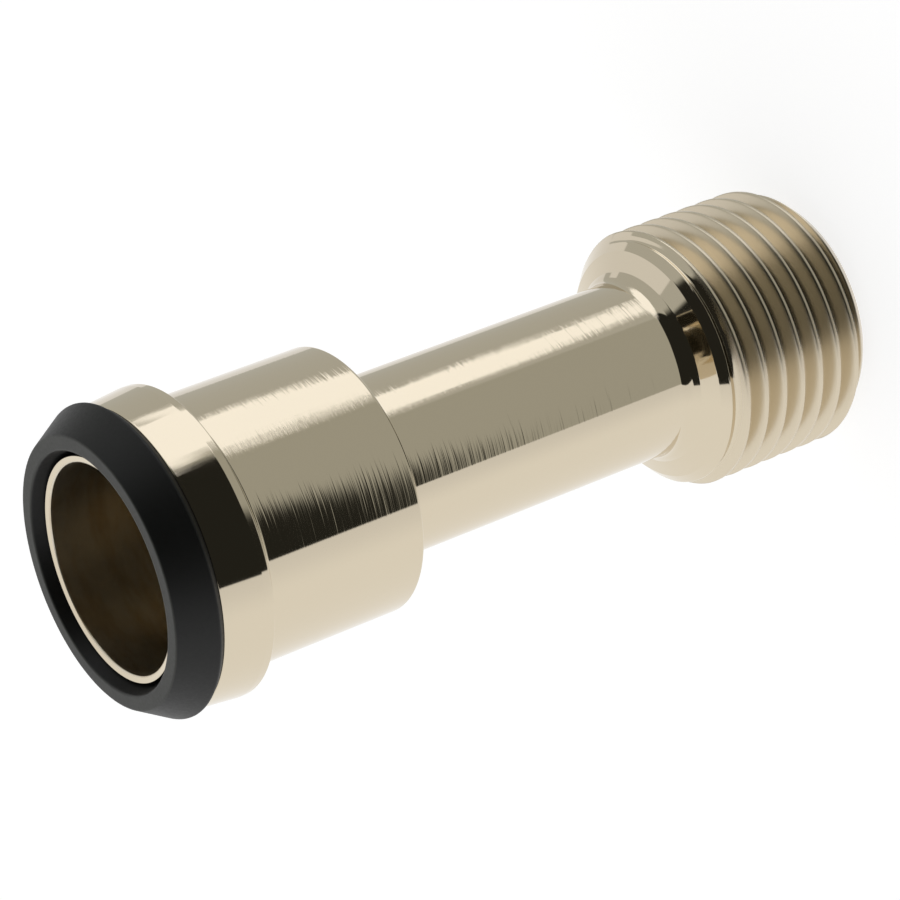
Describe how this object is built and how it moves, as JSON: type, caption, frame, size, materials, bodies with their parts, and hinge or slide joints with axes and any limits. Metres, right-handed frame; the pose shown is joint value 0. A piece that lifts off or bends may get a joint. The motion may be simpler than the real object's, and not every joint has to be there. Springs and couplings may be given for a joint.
{
  "type": "radiator valve tail",
  "caption": "Long nickel-plated union tail: collared nose with a rubber cone seal, narrow tube and a threaded hub.",
  "frame": {"origin": "centre of the end face of the thread, on the axis", "axes": "+Z along the axis, from the threaded end to the seal; X and Y are free, because the part is round"},
  "size_m": [0.024, 0.024, 0.0645],
  "materials": {
    "nickel_plate": "bright nickel plate over turned brass",
    "seal_rubber": "matt moulded black rubber"
  },
  "bodies": {
    "root": {"tail_body": "nickel_plate", "seal_ring": "seal_rubber"}
  },
  "joints": []
}
